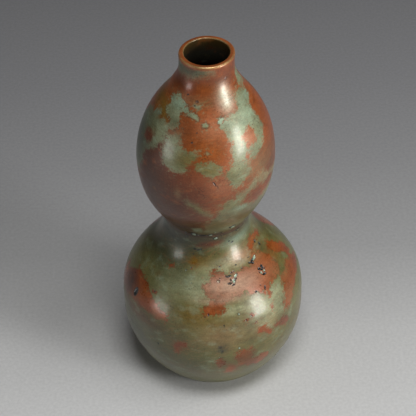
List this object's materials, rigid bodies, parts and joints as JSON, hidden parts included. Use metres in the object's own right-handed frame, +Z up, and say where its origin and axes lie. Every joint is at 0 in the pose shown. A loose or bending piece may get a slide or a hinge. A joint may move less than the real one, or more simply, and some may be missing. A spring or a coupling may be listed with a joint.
{
  "type": "vase",
  "caption": "Gourd-shaped bronze vase: a round lower bulb, a narrow waist, a smaller upper bulb and a short open neck.",
  "frame": {"origin": "centre of the foot, on the surface that the vase stands on", "axes": "+Z up along the axis that the vase is turned about; the picture looks along +Y with +X to the right"},
  "size_m": [0.12, 0.12, 0.2503],
  "materials": {
    "patinated_bronze": "cast, chased smooth, patinated copper red and olive green, waxed",
    "braze": "filed flush and patinated brown with the castings",
    "plate_bronze": "turned face, patinated dark brown",
    "solder": "dull grey soft solder, hollow fillet"
  },
  "bodies": {
    "root": {"lower_bulb": "patinated_bronze", "upper_bulb": "patinated_bronze", "waist_braze": "braze", "base_plate": "plate_bronze", "base_solder": "solder"}
  },
  "joints": []
}
